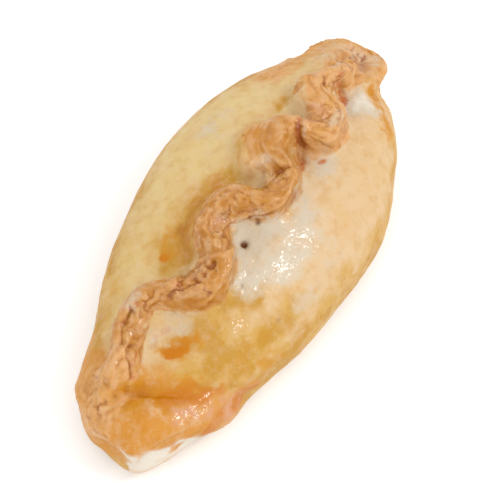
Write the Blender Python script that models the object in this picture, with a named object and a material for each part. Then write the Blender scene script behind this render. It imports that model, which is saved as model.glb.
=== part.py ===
"""A Cornish pasty, baked with its seam standing along the top and fluted from side to side.

Everything is one piece of pastry, so the model is one closed solid. X runs along the pasty, towards the
end with the flat tail, +Y is the far flank, and Z is up. The pasty lies on its flat base at z = 0, with the
origin under the middle of its box.
"""

import math

import bmesh
import bpy
from mathutils import Vector, noise

MM = 0.001

# Driving dimensions of the filled case, in millimetres.
LENGTH = 184.0  # without the tail
WIDEST_LEVEL = 17.0  # height at which the flanks stand out furthest
BASE_SINK = 2.5  # how far the rounded case reaches below the base before it is cut flat

# Stations along the case: x, half-width of the far flank, half-width of the near flank, height.
STATIONS = (
    (-92, 14, 15, 30),
    (-78, 23, 20, 33),
    (-60, 28.5, 27.5, 36),
    (-38, 36, 33.5, 41),
    (-10, 43, 40, 46),
    (12, 45, 43, 47),
    (36, 43, 41.5, 45),
    (60, 36.5, 34, 40),
    (76, 30, 25, 36),
    (92, 24, 15, 33),
)
PLAN_BLUNTNESS = 5.5  # exponent that closes the two ends of the case, seen from above
SIDE_BLUNTNESS = 3.4  # and seen from the side
DOME_POWER = 2.15  # exponent of the section above its widest level
BELLY_POWER = 3.0  # exponent of the section below it
LUMP_SPACING = 30.0  # between the swellings that the filling makes in the flanks
LUMP_HEIGHT = 1.2
END_LEAN = 0.5  # how far the swellings and folds near the ends push lengthwise

# The fluted seam, in millimetres.
CREST_HEIGHT = 9.5  # of its edge above the case
CREST_EMBED = 9.0  # how deep its foot reaches into the case
CREST_DROOP = 0.03  # fall of the edge, for each square millimetre that it leans out
CREST_SPREAD = 5.0  # half of what its foot is thicker than its edge
CREST_WAIST = 0.72  # share of that thickness left half-way between two turns
CREST_ROUNDNESS = 0.75  # exponent of its section: 1 is an ellipse, and less is fuller
CREST_FADE = 9.0  # how fast it rises at its two ends: larger is faster
CREST_LOOK = 0.002  # share of its length to look ahead and behind for its direction

# Where the seam turns back: x, y of its foot, y of its edge, half its thickness and how full the turn is.
CREST_TURNS = (
    (-85, 7, 8, 4.5, 1.0),
    (-70, 6, 9, 5.0, 1.4),
    (-50, 8, 14.5, 5.0, 1.8),
    (-28, -1, -5.5, 6.5, 1.8),
    (-9, 2, 6, 6.5, 1.8),
    (10, -5, -12, 5.5, 1.9),
    (30.5, -1, 4, 6.0, 2.3),
    (43, -6, -14, 6.0, 2.2),
    (61, 0, 2.5, 5.5, 1.8),
    (74, -1, -2, 4.5, 1.4),
    (88, -1, 0, 4.0, 1.0),
)

# The flattened tail of the seam, in millimetres.
TAIL_AT = (83.0, 2.0, 27.0)
TAIL_SIZE = (15.5, 17.0, 4.6)  # half of its length, width and thickness
TAIL_FULLNESS = 0.68  # exponent of its outline: 1 is an ellipse, and less is squarer
TAIL_TAPER = 0.35  # share of its thickness lost from its middle to its outer rim
TAIL_SLOPE = 0.28  # how much it falls for each millimetre outward
TAIL_RUFFLE = 2.0  # height of the waves in it
TAIL_WAVES = 1.9  # number of them across its half-width
TAIL_SCALLOP = 1.2  # depth of the notches in its outer rim

# The scoop that a finger leaves beside each turn of the seam, on the side that it turns away from.
SCOOP_OFFSET = 9.0  # of its middle from the seam's foot
SCOOP_RADIUS = 7.0
SCOOP_DEPTH = 2.2

# Folds of the case: the route of each over the surface, its half-width, and how deep it is pressed in.
# A negative depth is a swelling.
FOLDS = (
    (((-75, 5, 31), (-69, -6, 30), (-65, -13, 29), (-60, -20, 27), (-54, -26, 22), (-47, -30, 12)), 4.0, 3.2),
    (((-80, -5, 27), (-74, -14, 25), (-67, -22, 20), (-59, -29, 11)), 6.0, -2.2),
    (((-91, 6, 17), (-91, -8, 17), (-84, -13, 18), (-77, -19, 15), (-71, -23, 11)), 3.0, 1.6),
    (((-92, 0, 9), (-88, -13, 9), (-79, -20, 8)), 4.0, -1.6),
)

CASE_SEGMENTS = 200
CREST_STEPS = 220
CREST_SEGMENTS = 24
TAIL_SEGMENTS = 48
SAME_PLACE = 0.001  # points closer than this are one
VOXEL = 1.3
SMOOTH_SHARE = 0.5
SMOOTH_PASSES = 4
SHARE_KEPT = 0.16
BASE_CUT_DEPTH = 10.0


def clear_scene():
    for found in list(bpy.data.objects):
        bpy.data.objects.remove(found, do_unlink=True)


def blended(stations, x):
    """The values of the stations at x, on a smooth curve through all of them."""
    x = min(max(x, stations[0][0]), stations[-1][0])
    i = max(k for k in range(len(stations) - 1) if stations[k][0] <= x)
    before, start = stations[max(i - 1, 0)], stations[i]
    end, after = stations[i + 1], stations[min(i + 2, len(stations) - 1)]
    span = end[0] - start[0]
    t = (x - start[0]) / span
    values = []
    for k in range(1, len(start)):
        slope_in = (end[k] - before[k]) / (end[0] - before[0]) * span
        slope_out = (after[k] - start[k]) / (after[0] - start[0]) * span
        values.append(
            start[k] * (2 * t**3 - 3 * t**2 + 1)
            + slope_in * (t**3 - 2 * t**2 + t)
            + end[k] * (3 * t**2 - 2 * t**3)
            + slope_out * (t**3 - t**2)
        )
    return values


def closing(x, bluntness):
    """1 along the case, falling to 0 at its two ends."""
    t = min(abs(x) / (LENGTH / 2), 1)
    return (1 - t**bluntness) ** (1 / bluntness)


def signed_power(value, power):
    return math.copysign(abs(value) ** power, value)


def near_route(point, route):
    """How far a point is from a route of straight legs."""
    nearest = math.inf
    for start, end in zip(route, route[1:]):
        leg = Vector(end) - Vector(start)
        t = min(max((point - Vector(start)).dot(leg) / leg.length_squared, 0), 1)
        nearest = min(nearest, (point - Vector(start) - leg * t).length)
    return nearest


def case_point(direction):
    """Where the case's surface lies in a direction from its middle, given as a point of the unit sphere."""
    x = direction.x * LENGTH / 2
    far, near, top = blended(STATIONS, x)
    ring = math.hypot(direction.y, direction.z) or 1
    across, up = direction.y / ring, direction.z / ring
    half_width = far if across > 0 else near
    power = DOME_POWER if up > 0 else BELLY_POWER
    rise = top - WIDEST_LEVEL if up > 0 else WIDEST_LEVEL + BASE_SINK
    y = half_width * closing(x, PLAN_BLUNTNESS) * signed_power(across, 2 / power)
    z = WIDEST_LEVEL + rise * closing(x, SIDE_BLUNTNESS) * signed_power(up, 2 / power)
    return Vector((x, y, z))


def scooped(point):
    """How deep the finger scoops are at a point of the case."""
    if point.z < WIDEST_LEVEL:
        return 0
    depth = 0
    for x, foot, edge, _, _ in CREST_TURNS[2:-1]:
        middle = Vector((x, foot - math.copysign(SCOOP_OFFSET, edge - foot)))
        depth += SCOOP_DEPTH * math.exp(-(((point.xy - middle).length / SCOOP_RADIUS) ** 2))
    return depth


def pressed(point):
    """A point of the case, moved in or out by the swellings, the scoops and the folds."""
    lengthwise = END_LEAN * point.x * (1 - closing(point.x, SIDE_BLUNTNESS))
    outward = Vector((lengthwise, point.y, point.z - WIDEST_LEVEL)).normalized()
    moved = noise.noise(point / LUMP_SPACING) * LUMP_HEIGHT - scooped(point)
    for route, half_width, depth in FOLDS:
        moved -= depth * math.exp(-((near_route(point, route) / half_width) ** 2))
    return point + outward * moved


def height_at(x, y):
    """Height of the case's top surface over a point of the base."""
    far, near, top = blended(STATIONS, x)
    k = min(abs(y) / (closing(x, PLAN_BLUNTNESS) * (far if y > 0 else near)), 1)
    dome = (1 - k**DOME_POWER) ** (1 / DOME_POWER)
    return WIDEST_LEVEL + (top - WIDEST_LEVEL) * closing(x, SIDE_BLUNTNESS) * dome


def crest_route(s):
    """Foot and edge of the seam in plan, and half its thickness, s from 0 to 1 along it."""
    place = s * (len(CREST_TURNS) - 1)
    i = min(int(place), len(CREST_TURNS) - 2)
    t = place - i
    (x0, foot0, edge0, half0, full0), (x1, foot1, edge1, half1, full1) = CREST_TURNS[i : i + 2]
    share = 3 * t**2 - 2 * t**3
    x = x0 + (x1 - x0) * (share + full0 * (t**3 - 2 * t**2 + t) + full1 * (t**3 - t**2))
    half = (half0 + (half1 - half0) * share) * (1 - (1 - CREST_WAIST) * math.sin(math.pi * t) ** 2)
    return Vector((x, foot0 + (foot1 - foot0) * share)), Vector((x, edge0 + (edge1 - edge0) * share)), half


def crest_point(s, turn):
    """A point of the seam's surface, s along it and turn round its section."""
    foot, edge, half = crest_route(s)
    along = crest_route(min(s + CREST_LOOK, 1))[1] - crest_route(max(s - CREST_LOOK, 0))[1]
    side = Vector((-along.y, along.x, 0)).normalized()
    fade = min(1, CREST_FADE * s, CREST_FADE * (1 - s))
    rise = CREST_HEIGHT * fade - CREST_DROOP * (edge.y - foot.y) ** 2
    low = Vector((foot.x, foot.y, height_at(foot.x, foot.y) - CREST_EMBED))
    high = Vector((edge.x, edge.y, height_at(edge.x, foot.y) + rise))
    t = (1 - math.cos(turn)) / 2
    half += CREST_SPREAD * (1 - t) ** 2
    return low.lerp(high, t) + side * half * signed_power(math.sin(turn), CREST_ROUNDNESS)


def tail_point(direction):
    """Where the tail's surface lies in a direction from its middle, given as a point of the unit sphere."""
    out, across = (signed_power(value, TAIL_FULLNESS) for value in direction.xy)
    wave = math.sin(math.pi * TAIL_WAVES * across)
    x = out * TAIL_SIZE[0] - TAIL_SCALLOP * wave * max(out, 0)
    z = direction.z * TAIL_SIZE[2] * (1 - TAIL_TAPER * out) - TAIL_SLOPE * x + TAIL_RUFFLE * wave
    return Vector(TAIL_AT) + Vector((x, across * TAIL_SIZE[1], z))


def add_case(bm):
    ball = bmesh.ops.create_uvsphere(bm, u_segments=CASE_SEGMENTS, v_segments=CASE_SEGMENTS, radius=1)
    for vert in ball["verts"]:
        vert.co = pressed(case_point(Vector((vert.co.z, vert.co.y, -vert.co.x))))


def add_crest(bm):
    sheet = bmesh.ops.create_grid(bm, x_segments=CREST_STEPS, y_segments=CREST_SEGMENTS, size=0.5)["verts"]
    for vert in sheet:
        vert.co = crest_point(vert.co.x + 0.5, (vert.co.y + 0.5) * 2 * math.pi)
    bmesh.ops.remove_doubles(bm, verts=sheet, dist=SAME_PLACE)
    bmesh.ops.holes_fill(bm, edges=[edge for edge in bm.edges if edge.is_boundary])


def add_tail(bm):
    ball = bmesh.ops.create_uvsphere(bm, u_segments=TAIL_SEGMENTS, v_segments=TAIL_SEGMENTS, radius=1)
    for vert in ball["verts"]:
        vert.co = tail_point(vert.co)


def pastry_material():
    material = bpy.data.materials.new("baked_pastry")
    material.use_nodes = True
    shader = material.node_tree.nodes["Principled BSDF"]
    shader.inputs["Base Color"].default_value = (0.72, 0.47, 0.20, 1)
    shader.inputs["Roughness"].default_value = 0.45
    shader.inputs["Metallic"].default_value = 0.0
    return material


def shown(name, bm):
    """A new object in the scene, from a mesh in millimetres."""
    bmesh.ops.scale(bm, vec=(MM, MM, MM), verts=bm.verts)
    mesh = bpy.data.meshes.new(name)
    bm.to_mesh(mesh)
    bm.free()
    made = bpy.data.objects.new(name, mesh)
    bpy.context.scene.collection.objects.link(made)
    return made


def base_cutter():
    """A slab under the base, which cuts the case flat."""
    bm = bmesh.new()
    bmesh.ops.create_cube(bm, size=1)
    bmesh.ops.scale(bm, vec=(2 * LENGTH, 2 * LENGTH, BASE_CUT_DEPTH), verts=bm.verts)
    bmesh.ops.translate(bm, vec=(0, 0, -BASE_CUT_DEPTH / 2), verts=bm.verts)
    cutter = shown("base_cutter", bm)
    cutter.hide_render = True
    cutter.display_type = "WIRE"
    return cutter


def join_pieces(shells):
    """The modifiers that make overlapping shells one skin, soften it and cut its base flat."""
    joined = shells.modifiers.new("one_piece", "REMESH")
    joined.mode = "VOXEL"
    joined.voxel_size = VOXEL * MM
    softened = shells.modifiers.new("softened", "SMOOTH")
    softened.factor = SMOOTH_SHARE
    softened.iterations = SMOOTH_PASSES
    lighter = shells.modifiers.new("fewer_faces", "DECIMATE")
    lighter.ratio = SHARE_KEPT
    flat = shells.modifiers.new("flat_base", "BOOLEAN")
    flat.operation = "DIFFERENCE"
    flat.solver = "EXACT"
    flat.object = base_cutter()


def centred(mesh):
    """Moves a mesh so that the middle of its box in plan is the origin."""
    for axis in (0, 1):
        places = [vert.co[axis] for vert in mesh.vertices]
        middle = (min(places) + max(places)) / 2
        for vert in mesh.vertices:
            vert.co[axis] -= middle


def build_pasty():
    bm = bmesh.new()
    add_case(bm)
    add_crest(bm)
    add_tail(bm)
    bmesh.ops.recalc_face_normals(bm, faces=bm.faces)
    shells = shown("shells", bm)
    join_pieces(shells)
    graph = bpy.context.evaluated_depsgraph_get()
    mesh = bpy.data.meshes.new_from_object(shells.evaluated_get(graph))
    centred(mesh)
    mesh.name = "pasty"
    mesh.materials.clear()
    mesh.materials.append(pastry_material())
    bpy.context.scene.collection.objects.link(bpy.data.objects.new("pasty", mesh))
    bpy.data.objects.remove(shells)


clear_scene()
build_pasty()
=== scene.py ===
# %% [markdown]
# # A baked Cornish pasty
#
# A pasty is one round of shortcrust pastry folded over its filling. The seam is pinched shut,
# folded from side to side into flutes, brushed with egg and baked. There is only one sheet of
# dough, so the whole pasty is one piece here too.
#
# The measured solid gives the size and the main shape. This lesson makes a finer skin from it,
# works that skin the way fingers and the oven did, paints where it browned, and gives it a baked
# finish.

# %% Load the measured solid
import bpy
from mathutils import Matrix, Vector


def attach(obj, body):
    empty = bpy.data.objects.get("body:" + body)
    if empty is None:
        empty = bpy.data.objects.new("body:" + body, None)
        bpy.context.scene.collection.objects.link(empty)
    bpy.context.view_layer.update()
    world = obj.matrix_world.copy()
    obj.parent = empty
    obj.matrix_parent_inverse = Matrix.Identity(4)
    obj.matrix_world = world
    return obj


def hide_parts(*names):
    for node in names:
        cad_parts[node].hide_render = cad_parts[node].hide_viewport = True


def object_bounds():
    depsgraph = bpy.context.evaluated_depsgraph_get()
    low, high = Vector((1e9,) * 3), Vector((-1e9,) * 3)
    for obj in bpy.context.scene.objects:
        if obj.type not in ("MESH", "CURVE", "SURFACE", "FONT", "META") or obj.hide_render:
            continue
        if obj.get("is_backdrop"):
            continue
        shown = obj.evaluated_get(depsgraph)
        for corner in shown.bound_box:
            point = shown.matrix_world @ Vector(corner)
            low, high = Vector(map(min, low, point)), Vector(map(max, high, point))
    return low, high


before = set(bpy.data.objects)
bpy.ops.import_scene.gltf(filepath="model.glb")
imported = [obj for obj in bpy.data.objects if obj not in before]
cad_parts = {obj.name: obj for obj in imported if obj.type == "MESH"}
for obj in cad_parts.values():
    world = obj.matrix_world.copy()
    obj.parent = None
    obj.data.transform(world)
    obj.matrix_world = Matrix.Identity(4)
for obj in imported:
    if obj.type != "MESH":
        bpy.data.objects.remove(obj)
cad_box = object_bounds()
print("nodes:", sorted(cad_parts))

# %% The modules for shaping
import math

import bmesh
import bpy
import numpy as np
from mathutils import Vector, noise
from mathutils.bvhtree import BVHTree
from numpy.linalg import norm

# Without a seed the noise would differ at every run.
NOISE_SEED = 5
noise.seed_set(NOISE_SEED)
print("Blender", bpy.app.version_string)

# %% [markdown]
# ## Units
#
# Pastry is measured in millimetres, so every size below is in millimetres too, counted from the
# middle of the filled case: x along the pasty towards its flat tail, y towards the far flank, z
# up. The tail sticks out at one end, so the middle of the case isn't the middle of the whole, and
# one constant holds the difference.

# %% Millimetres from the middle of the case
MM = 0.001
CASE_MIDDLE = np.array((-3.06, -1.17, 0.0))


def read_places(mesh):
    """The vertices of a mesh in case millimetres."""
    places = np.empty(len(mesh.vertices) * 3)
    mesh.vertices.foreach_get("co", places)
    return places.reshape(-1, 3) / MM - CASE_MIDDLE


def write_places(mesh, places):
    mesh.vertices.foreach_set("co", ((places + CASE_MIDDLE) * MM).ravel())
    mesh.update()


def read_normals(mesh):
    normals = np.empty(len(mesh.vertices) * 3, np.float32)
    mesh.vertex_normals.foreach_get("vector", normals)
    return normals.reshape(-1, 3).astype(float)


def ramp(values, low, high):
    """0 below low, 1 above high, and a smooth rise between. Low may be the larger."""
    t = np.clip((values - low) / (high - low), 0, 1)
    return t * t * (3 - 2 * t)


solid_places = read_places(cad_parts["pasty"].data)
print("the case runs from", solid_places.min(0).round(1), "to", solid_places.max(0).round(1))

# %% [markdown]
# ## A finer skin
#
# The solid is made of large triangles. Its copy is merged first, because its triangles are loose.
# A Subdivision Surface rounds the corners between them, and a voxel Remesh then lays an even net
# of small squares over the whole form, which is what sculpting needs: every place has vertices to
# move.

# %% Copy, round and remesh the solid
SAME_PLACE = 1e-6
ROUNDING_LEVELS = 1
NET = 0.98
SETTLE_SHARE = 0.5
SETTLE_PASSES = 6


def merged_copy(node, name):
    bm = bmesh.new()
    bm.from_mesh(node.data)
    bmesh.ops.remove_doubles(bm, verts=bm.verts, dist=SAME_PLACE)
    mesh = bpy.data.meshes.new(name)
    bm.to_mesh(mesh)
    bm.free()
    piece = bpy.data.objects.new(name, mesh)
    bpy.context.scene.collection.objects.link(piece)
    return piece


def apply_modifiers(piece):
    graph = bpy.context.evaluated_depsgraph_get()
    finished = bpy.data.meshes.new_from_object(piece.evaluated_get(graph))
    piece.modifiers.clear()
    started = piece.data
    piece.data = finished
    bpy.data.meshes.remove(started)
    finished.name = piece.name


pasty = merged_copy(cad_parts["pasty"], "baked_pastry")
rounding = pasty.modifiers.new("rounding", "SUBSURF")
rounding.levels = rounding.render_levels = ROUNDING_LEVELS
net = pasty.modifiers.new("net", "REMESH")
net.mode = "VOXEL"
net.voxel_size = NET * MM
settled = pasty.modifiers.new("settled", "SMOOTH")
settled.factor = SETTLE_SHARE
settled.iterations = SETTLE_PASSES
apply_modifiers(pasty)
print("skin:", len(pasty.data.vertices), "vertices")

# %% [markdown]
# ## The seam's route
#
# Fingers fold the seam to one side and then to the other, so it runs along the top in wide turns.
# Each turn is one row: where the edge of the seam turns back, and how full the turn is. Between
# two rows the route follows a cubic whose ends run straight on, the same curve that the solid was
# made with.

# %% Points along the seam
# x and y of each turn, and its fullness.
SEAM_TURNS = (
    (-85, 8, 1.0),
    (-70, 9, 1.4),
    (-50, 14.5, 1.8),
    (-28, -5.5, 1.8),
    (-9, 6, 1.8),
    (10, -12, 1.9),
    (30.5, 4, 2.3),
    (43, -14, 2.2),
    (61, 2.5, 1.8),
    (74, -2, 1.4),
    (88, 0, 1.0),
)
SEAM_STEPS = 500
WELL_ABOVE = 100.0
RIM_LEVEL = 17.0


def seam_place(share):
    """x and y of the seam's edge, at a share of the way along it."""
    place = share * (len(SEAM_TURNS) - 1)
    i = min(int(place), len(SEAM_TURNS) - 2)
    t = place - i
    (x0, y0, full0), (x1, y1, full1) = SEAM_TURNS[i : i + 2]
    rise = 3 * t**2 - 2 * t**3
    x = x0 + (x1 - x0) * (rise + full0 * (t**3 - 2 * t**2 + t) + full1 * (t**3 - t**2))
    return x, y0 + (y1 - y0) * rise


def skin_tree(mesh):
    places = read_places(mesh)
    return BVHTree.FromPolygons(places.tolist(), [face.vertices for face in mesh.polygons])


def lifted(tree, x, y):
    """The top of the skin over a point of the base, or past its rim the skin nearest to it."""
    above = tree.ray_cast(Vector((x, y, WELL_ABOVE)), Vector((0, 0, -1)))[0]
    return np.array(above or tree.find_nearest(Vector((x, y, RIM_LEVEL)))[0])


skin = skin_tree(pasty.data)
seam_top = np.array([lifted(skin, *seam_place(s / SEAM_STEPS)) for s in range(SEAM_STEPS + 1)])
print("seam rises to", round(seam_top[:, 2].max(), 1), "mm")

# %% [markdown]
# ## A finer net where fingers worked
#
# The crumples of the seam are a millimetre wide, finer than the net. A finer net everywhere would
# be a waste on the smooth flanks, so only the faces near the seam, the tail and the folded end
# are divided once more.

# %% Divide the net along the seam and at both ends
SEAM_CORE_DEPTH = 4.0
FINE_REACH = 10.5
FINE_TAIL = 76.0
FINE_END = -66.0
FINE_LEVEL = 12.0
# How many places are compared with the points at a time.
BATCH = 4000

seam_core = seam_top - np.array((0, 0, SEAM_CORE_DEPTH))


def nearest_on(points, places):
    """For each place, the nearest of the points: how far it is, and its index."""
    far = np.empty(len(places))
    which = np.empty(len(places), int)
    for start in range(0, len(places), BATCH):
        some = slice(start, start + BATCH)
        gaps = norm(places[some][:, None] - points[None], axis=2)
        which[some] = gaps.argmin(1)
        far[some] = gaps.min(1)
    return far, which


def needs_fine_net(places):
    near_seam = nearest_on(seam_core, places)[0] < FINE_REACH
    at_ends = (places[:, 0] > FINE_TAIL) | (places[:, 0] < FINE_END)
    return near_seam | (at_ends & (places[:, 2] > FINE_LEVEL))


def divide(piece, chosen):
    bm = bmesh.new()
    bm.from_mesh(piece.data)
    edges = [e for e in bm.edges if chosen[e.verts[0].index] and chosen[e.verts[1].index]]
    bmesh.ops.subdivide_edges(bm, edges=edges, cuts=1, use_grid_fill=True)
    bm.to_mesh(piece.data)
    bm.free()


divide(pasty, needs_fine_net(read_places(pasty.data)))
print("skin:", len(pasty.data.vertices), "vertices")

# %% [markdown]
# ## A sculptor's tools
#
# A brush stroke in sculpt mode moves the skin along its own normals, more in the middle of the
# brush than at its rim. The same can be said in a few lines: a route over the skin, how wide the
# brush is, and how far it pushes. The routes are given from above, in x and y, and are laid onto
# the skin. A little noise shifts every place before it is measured, so that no stroke has a clean
# edge.

# %% Routes over the skin
ROUTE_STEP = 0.5
WOBBLE_SIZE = 4.0
WOBBLE = 0.8


def route_over(tree, points):
    """A smooth curve over the skin through points seen from above."""
    knots = [lifted(tree, x, y) for x, y in points]
    ends = [2 * knots[0] - knots[1], *knots, 2 * knots[-1] - knots[-2]]
    curve = []
    for before, start, end, after in zip(ends, ends[1:], ends[2:], ends[3:]):
        steps = max(2, int(norm(end - start) / ROUTE_STEP))
        for t in np.arange(steps) / steps:
            bend = (2 * before - 5 * start + 4 * end - after) * t**2
            bend += (3 * start - before - 3 * end + after) * t**3
            curve.append(start + ((end - before) * t + bend) / 2)
    curve.append(knots[-1])
    return np.array(curve)


def around(curve, places, reach):
    """Which places are in the box around a curve."""
    inside = (places > curve.min(0) - reach) & (places < curve.max(0) + reach)
    return np.flatnonzero(inside.all(1))


def beside(curve, places, normals, reach):
    """Which places are near a curve, how far each is (below 0 on its right), and its share."""
    near = around(curve, places, reach)
    far, which = nearest_on(curve, places[near])
    close = far < reach
    near, far, which = near[close], far[close], which[close]
    ahead = np.gradient(curve, axis=0)
    turned = np.cross(ahead[which], places[near] - curve[which])
    left = np.einsum("ij,ij->i", turned, normals[near])
    return near, far * np.where(left < 0, -1, 1), which / (len(curve) - 1)


def shake(places, size, height):
    """A shift for every place, from noise of this size and height."""
    return height * np.array([noise.noise_vector(Vector(place) / size) for place in places])


over_the_top = route_over(skin, ((0, -30), (0, 0), (0, 30)))
skin_length = norm(np.diff(over_the_top, axis=0), axis=1).sum()
print("over the top:", round(skin_length), "mm of skin for 60 mm of base")

# %% Edges and neighbours
def read_edges(mesh):
    pairs = np.empty(len(mesh.edges) * 2, np.int32)
    mesh.edges.foreach_get("vertices", pairs)
    return pairs.reshape(-1, 2)


def neighbour_mean(values, pairs):
    """The mean of every vertex's neighbours."""
    total = np.zeros_like(values)
    count = np.zeros(len(values))
    for a, b in ((0, 1), (1, 0)):
        for k in range(3):
            total[:, k] += np.bincount(pairs[:, a], values[pairs[:, b], k], len(values))
        count += np.bincount(pairs[:, a], minlength=len(values))
    return total / count[:, None]


edges = read_edges(pasty.data)
print("net:", len(edges), "edges")

# %% [markdown]
# ## Strokes
#
# Each kind of stroke does one thing that hands do to dough: press a line, lay one fold over
# another, push a swelling out, fill a hollow, rub a place smooth, or take hold and pull. The
# strokes of one layer are added up first and pressed into the mesh together, so their order
# within a layer doesn't matter.

# %% The kinds of stroke
# Shares of a stroke's length: where it fades in from, and where it is full.
STROKE_FADE = (-0.02, 0.18)
GROOVE_REACH = 3
DOME_DEPTH = 14.0
DOME_FALL = 3.0
DOME_EDGE = (1, 0.4)
RUB_EDGE = 0.5
RUBS = 60


class Sculpt:
    """One layer of strokes on a piece. Nothing moves until press() is called."""

    def __init__(self, piece):
        self.mesh = piece.data
        self.places = read_places(self.mesh)
        self.normals = read_normals(self.mesh)
        self.tree = skin_tree(self.mesh)
        self.measured = self.places + shake(self.places, WOBBLE_SIZE, WOBBLE)
        self.moved, self.filled, self.relaxed = np.zeros((3, len(self.places)))
        self.drags = []

    def groove(self, width, depth, *points):
        """A pressed line. A negative depth is a ridge."""
        curve = route_over(self.tree, points)
        near, far, share = beside(curve, self.measured, self.normals, GROOVE_REACH * width)
        self.moved[near] -= depth * np.exp(-((far / width) ** 2)) * faded(share)

    def overlap(self, reach, height, lip, *points):
        """A fold lying over its neighbour: raised on the left of the route, with a lip along it."""
        curve = route_over(self.tree, points)
        near, far, share = beside(curve, self.measured, self.normals, GROOVE_REACH * reach)
        raised = ramp(far, -lip, lip) * np.exp(-np.maximum(far, 0) / reach)
        self.moved[near] += height * raised * faded(share)

    def swell(self, x, y, radius, height):
        """A rounded rise, or a scoop where height is negative."""
        middle = lifted(self.tree, x, y)
        far = norm(self.measured - middle, axis=1)
        self.moved += height * np.exp(-((far / radius) ** 2))

    def fill(self, x, y, radius, level):
        """Dough filled in around a place, up to a level that falls off like a dome."""
        far = norm(self.measured[:, :2] - (x, y), axis=1) / radius
        lacking = np.maximum(level - DOME_FALL * far**2 - self.places[:, 2], 0)
        share = ramp(far, *DOME_EDGE) * (self.places[:, 2] > level - DOME_DEPTH)
        self.filled = np.maximum(self.filled, share * lacking)

    def relax(self, x, y, radius):
        """Skin rubbed smooth with a thumb."""
        far = norm(self.measured - lifted(self.tree, x, y), axis=1)
        self.relaxed = np.maximum(self.relaxed, ramp(far, radius, RUB_EDGE * radius))

    def drag(self, x, y, reach, *along):
        """Takes hold of a place and pulls it along, with everything within reach."""
        self.drags.append((lifted(self.tree, x, y), reach, np.array(along)))

    def dragged(self, places):
        return places + sum(
            ramp(norm(places - middle, axis=1), reach, 0)[:, None] * along
            for middle, reach, along in self.drags
        )

    def plan(self, what):
        """Says what waits to be pressed."""
        print(f"{what}: up to {np.abs(self.moved).max():.1f} mm, {len(self.drags)} pulls so far")

    def press(self, what):
        """Moves the mesh, and says how far."""
        places = self.places + self.normals * self.moved[:, None]
        places[:, 2] += self.filled
        if self.relaxed.any():
            pairs = read_edges(self.mesh)
            for _ in range(RUBS):
                places += self.relaxed[:, None] * (neighbour_mean(places, pairs) - places)
        if self.drags:
            places = self.dragged(places)
        write_places(self.mesh, places)
        far = norm(places - self.places, axis=1)
        print(f"{what}: moved by {far.mean():.2f} mm on average, {far.max():.1f} mm at most")


def faded(share):
    """A stroke fades out towards both ends of its route."""
    return ramp(np.minimum(share, 1 - share), *STROKE_FADE)


print("a stroke from its end to its middle:", faded(np.linspace(0, 0.5, 6)).round(2))

# %% [markdown]
# ## Broad folds
#
# The big shapes come first, each turn of the seam in the order that the fingers made it. A groove
# is given by its width, its depth and the points that it runs through. An overlap is given by how
# far it reaches, how high it stands, how broad its lip is, and its points. Swellings and fills
# have a place, a radius and a height. The pulls at the end of the list shape the outline: it is
# wide over the filling and drawn in where the seam closes it.

# %% The folded blunt end
folds = Sculpt(pasty)
# Its edge runs down from the seam, and a pale lip of dough sticks out under it.
fold_edge = ((-50, -28), (-56, -23), (-61, -18), (-66, -13), (-70, -6), (-73, 0), (-76, 5))
folds.overlap(8, 0.9, 1.2, *fold_edge)
folds.overlap(5, 1.4, 0.5, (-90, -9), (-87, -10.5), (-83, -12.5), (-77, -16.5), (-71, -20.5))
folds.groove(2.4, 0.5, (-76, 6), (-72, 0), (-69, -7), (-65, -14), (-59, -19.5), (-53, -26))
folds.plan("blunt end")

# %% The first three turns of the seam
# The first turn: a roll along its far side, and a hollow inside the roll.
folds.groove(1.7, 2.4, (-64, 9.5), (-60, 12), (-55, 13), (-50, 12))
folds.groove(1.8, -1.2, (-64, 13), (-59, 15.5), (-54, 17.5), (-47, 18.5), (-40, 17), (-34, 13))
folds.swell(-53, 8, 4, 1)
# The second turn is a long hollow between two rims.
folds.groove(2.4, 1.1, (-40, 3), (-36, 1), (-31, -3), (-25, -5))
near_rim = ((-45, 4), (-43, -1), (-39, -6), (-34, -8.5), (-27, -9), (-20, -7), (-14, -4.5))
folds.groove(1.5, -0.9, *near_rim)
# The third turn has a deep pocket behind a thin rim, and stretched dough on its near side.
folds.groove(2.6, 2, (-22, 2), (-17, 2.5), (-11, 1.5), (-7, 0))
folds.groove(1.1, -1.2, (-24, 2), (-21, 6), (-15, 7.5), (-10, 5))
folds.swell(2, 2, 6, 1.6)
folds.drag(10, -16, 11, 0, 2.4, 0.6)
folds.plan("first turns")

# %% The last turns, which lean and close up
# This turn leans out over the far flank.
folds.fill(15, -4, 7, 52.5)
folds.fill(18, 4, 11, 54)
folds.fill(24, 7, 10, 54)
folds.relax(20, 3, 11)
folds.relax(23, -13, 6)
folds.drag(24, 12, 12, -0.5, 1.2, 0.3)
folds.swell(27, -1, 5.5, 1.6)
folds.groove(1.5, 1.6, (7, 9), (10, 4), (12, 0), (13, -4), (16, -8), (21, -10))
folds.groove(1.5, 1.8, (21, -11), (26, -10), (30, -8), (32, -6), (35, -3), (38, -2))
# The last big turn is folded tight against the tail.
folds.drag(46, -17, 9, 0, 2.4, 0)
folds.fill(48, -5, 8, 50.5)
folds.fill(52, 0, 9, 50.5)
folds.fill(57, 4, 7, 49)
folds.relax(50, -2, 10)
folds.groove(1.3, 1.4, (55, 4), (55, 0), (58, -2.5), (62, 0), (64, 3))
folds.groove(1.3, 1, (64, -9), (67, -6), (69, -4))
folds.plan("last turns")

# %% The outline
folds.drag(93, 17, 10, -1.5, -1.5, 0)
folds.drag(96, -2, 12, 1.2, 0, 0)
# A notch parts the tail from the rim of the case.
folds.swell(84, -16, 5, -3.2)
folds.drag(-97, 3, 16, 4.2, 0, 0)
folds.drag(-86, 18, 13, 1.8, -0.4, 0)
folds.swell(-22, 36, 28, -1.1)
folds.swell(-38, -36, 13, -1.4)
folds.press("folds")
seam_core = folds.dragged(seam_core)

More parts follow.
